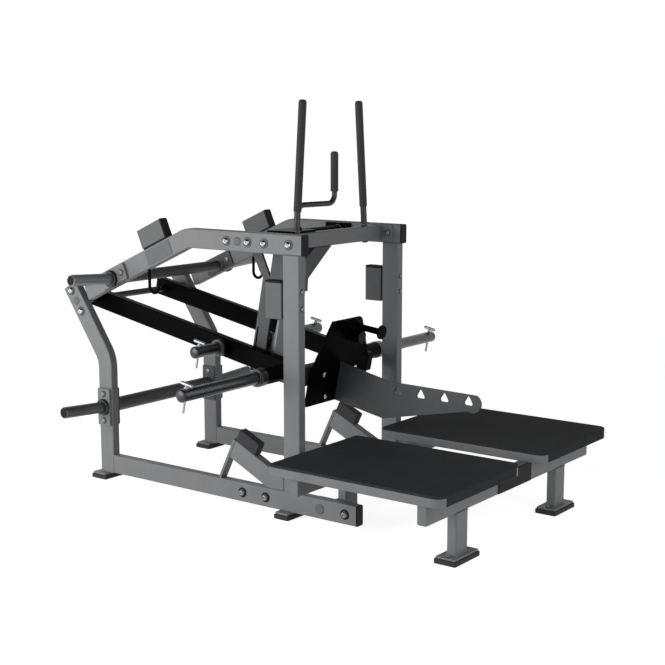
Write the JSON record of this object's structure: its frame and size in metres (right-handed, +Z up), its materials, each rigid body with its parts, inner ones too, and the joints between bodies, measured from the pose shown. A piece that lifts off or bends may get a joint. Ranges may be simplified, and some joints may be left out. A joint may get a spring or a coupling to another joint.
{
  "type": "belt squat machine",
  "caption": "Belt squat machine with two standing decks, a pivoting lever with belt plate and weight horns, upright handles, release handle and bumper stops.",
  "frame": {"origin": "centre of the machine's footprint on the floor", "axes": "+Z up, +X across the machine, -Y towards the decks where the person stands, +Y towards the lever's axle"},
  "size_m": [1.692, 2.1322, 1.622],
  "materials": {
    "grey_paint": "satin grey powder coat",
    "black_paint": "satin black powder coat",
    "plate_steel": "dark grey satin",
    "horn_steel": "dark satin steel",
    "rubber": "matte rubber",
    "mat": "matte textured rubber",
    "chrome": "polished",
    "plastic": "matte black"
  },
  "bodies": {
    "frame": {"bottom_rail_left": "grey_paint", "bottom_rail_right": "grey_paint", "bumper_left": "rubber", "bumper_ramp_left": "grey_paint", "bumper_ramp_right": "grey_paint", "bumper_right": "rubber", "catch_tower": "grey_paint", "centre_cover": "plastic", "deck_foot_left": "rubber", "deck_foot_right": "rubber", "deck_mat_left": "mat", "deck_mat_right": "mat", "deck_tray_left": "grey_paint", "deck_tray_right": "grey_paint", "front_crossbeam": "grey_paint", "front_foot_left": "rubber", "front_foot_right": "rubber", "front_post_left": "grey_paint", "front_post_right": "grey_paint", "handle_left": "rubber", "handle_right": "rubber", "pivot_axle": "horn_steel", "platform_front_tube": "grey_paint", "platform_leg_left": "grey_paint", "platform_leg_right": "grey_paint", "platform_rear_arm_left": "grey_paint", "platform_rear_arm_right": "grey_paint", "post_block_left": "grey_paint", "post_block_right": "grey_paint", "rear_foot_left": "rubber", "rear_foot_right": "rubber", "rear_leg_left": "grey_paint", "rear_leg_right": "grey_paint", "rear_lower_bar": "grey_paint", "rear_upper_bar": "grey_paint", "release_bracket": "black_paint", "second_cross_bar": "black_paint", "storage_horn_lower_left": "horn_steel", "storage_horn_lower_right": "horn_steel", "storage_horn_upper_left": "horn_steel", "storage_horn_upper_right": "horn_steel", "top_beam_left": "grey_paint", "top_beam_right": "grey_paint", "top_block_left": "grey_paint", "top_block_right": "grey_paint"},
    "lever": {"arm_left": "black_paint", "arm_right": "black_paint", "belt_plate": "plate_steel", "carriage": "black_paint", "catch_peg": "horn_steel", "weight_horn_front_left": "horn_steel", "weight_horn_front_right": "horn_steel", "weight_horn_rear_left": "horn_steel", "weight_horn_rear_right": "horn_steel"},
    "pin_front_left": {"weight_pin_front_left": "chrome"},
    "pin_front_right": {"weight_pin_front_right": "chrome"},
    "pin_rear_left": {"weight_pin_rear_left": "chrome"},
    "pin_rear_right": {"weight_pin_rear_right": "chrome"},
    "release": {"release_handle": "rubber"},
    "hook": {"catch_hook": "horn_steel"}
  },
  "joints": [
    {"name": "lever_swing", "type": "hinge", "parent": "frame", "child": "lever", "pos_m": [0, 0.98786, 0.767], "axis": [-1, 0, 0], "range_deg": [-12.7, 10.2]},
    {"name": "pin_front_left_pull", "type": "slide", "parent": "lever", "child": "pin_front_left", "axis": [0, -0.1918, 0.9814], "range_m": [0, 0.06]},
    {"name": "pin_front_right_pull", "type": "slide", "parent": "lever", "child": "pin_front_right", "axis": [0, -0.1918, 0.9814], "range_m": [0, 0.06]},
    {"name": "pin_rear_left_pull", "type": "slide", "parent": "lever", "child": "pin_rear_left", "axis": [0, -0.1918, 0.9814], "range_m": [0, 0.06]},
    {"name": "pin_rear_right_pull", "type": "slide", "parent": "lever", "child": "pin_rear_right", "axis": [0, -0.1918, 0.9814], "range_m": [0, 0.06]},
    {"name": "release_turn", "type": "hinge", "parent": "frame", "child": "release", "pos_m": [-0.176, -0.09914, 1.12], "axis": [0, 0, -1], "range_deg": [0, 32]},
    {"name": "hook_swing", "type": "hinge", "parent": "frame", "child": "hook", "pos_m": [-0.17, 0.06568, 0.66826], "axis": [-1, 0, 0], "range_deg": [0, 16]}
  ],
  "couplings": [
    {"joint": "hook_swing", "follows": "release_turn", "ratio": 0.5}
  ]
}
